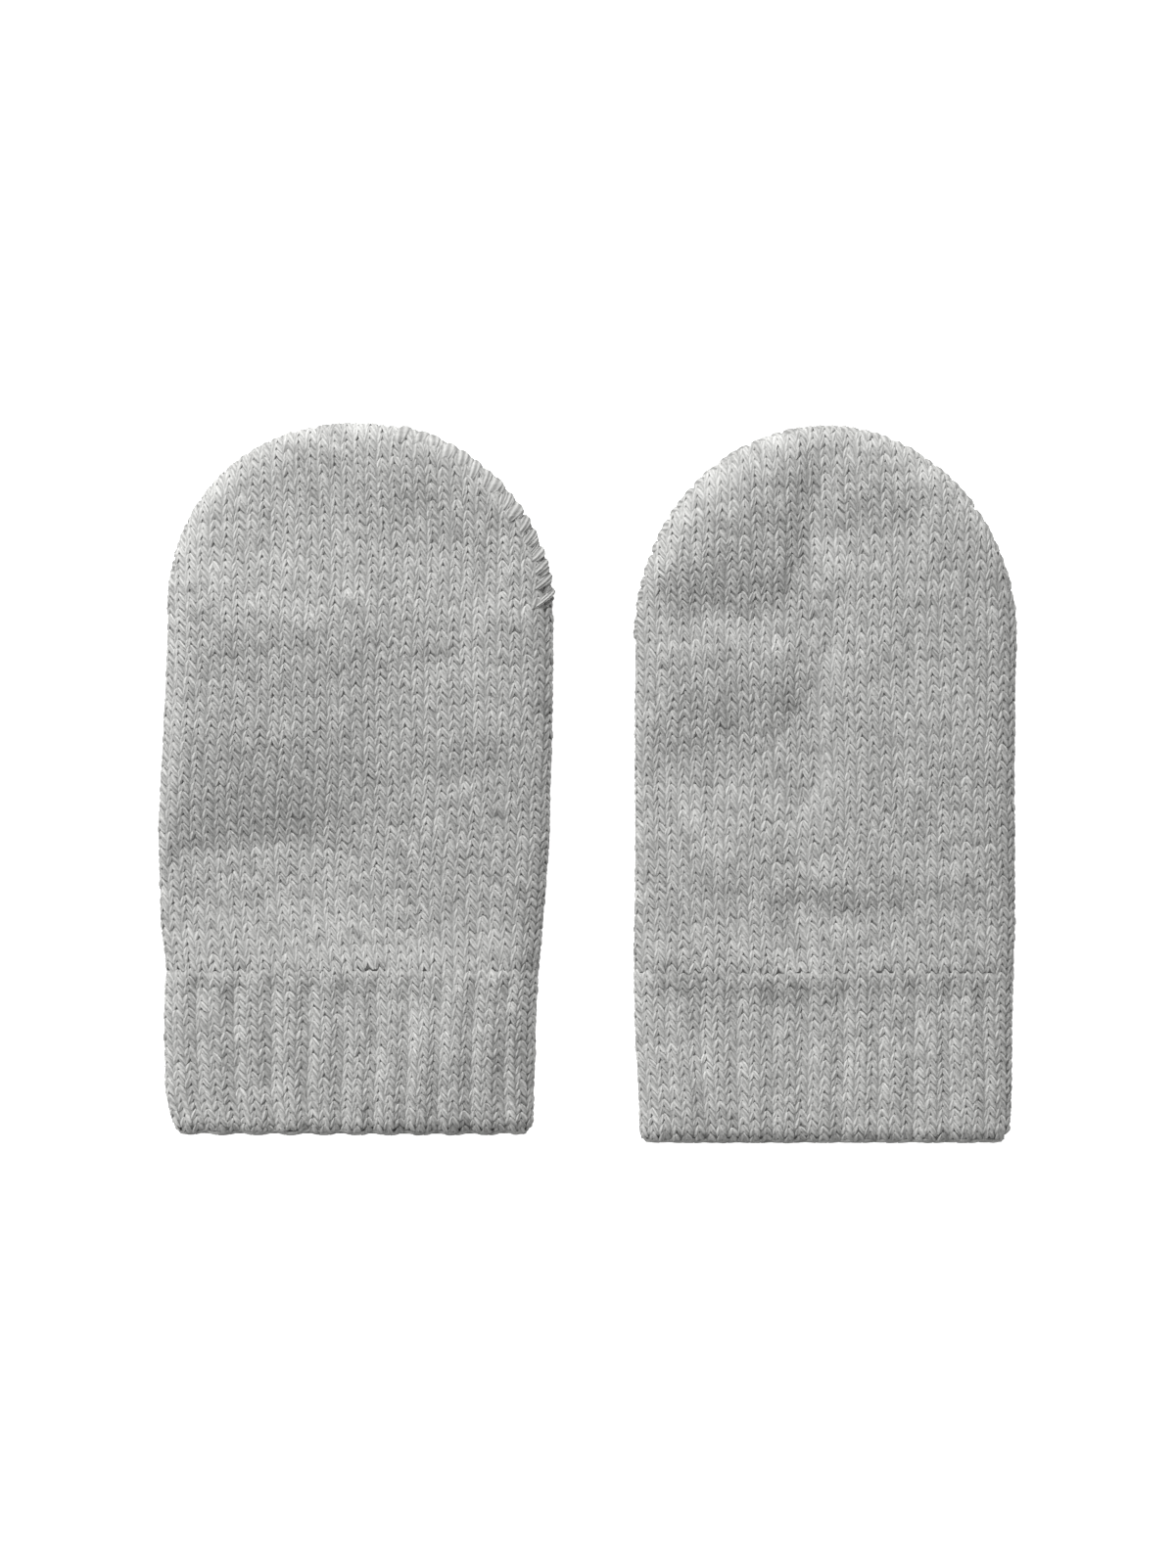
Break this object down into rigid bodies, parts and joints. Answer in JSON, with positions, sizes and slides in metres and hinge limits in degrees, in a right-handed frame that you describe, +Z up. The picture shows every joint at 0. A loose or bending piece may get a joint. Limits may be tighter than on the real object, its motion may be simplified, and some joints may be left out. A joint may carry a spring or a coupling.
{
  "type": "pair of baby mittens",
  "caption": "Thumbless knitted baby mittens laid flat side by side, round tips closed by a stitched seam, ribbed cuffs with open mouths.",
  "frame": {"origin": "on the surface the pair lies on, under the middle of the pair's bounding box", "axes": "+Z up out of the surface, +Y from the cuffs' hems to the round tips, +X from the left mitten to the right one"},
  "size_m": [0.1462, 0.1225, 0.0078],
  "materials": {
    "hand_knit": "matt light grey melange yarn, plain knitting",
    "cuff_rib": "matt light grey melange yarn, rib knitting",
    "seam_yarn": "matt light grey melange yarn, overcast stitches"
  },
  "bodies": {
    "root": {"left_hand_front": "hand_knit", "left_hand_back": "hand_knit", "left_cuff_front": "cuff_rib", "left_cuff_back": "cuff_rib", "left_seam": "seam_yarn", "right_hand_front": "hand_knit", "right_hand_back": "hand_knit", "right_cuff_front": "cuff_rib", "right_cuff_back": "cuff_rib", "right_seam": "seam_yarn"}
  },
  "joints": []
}
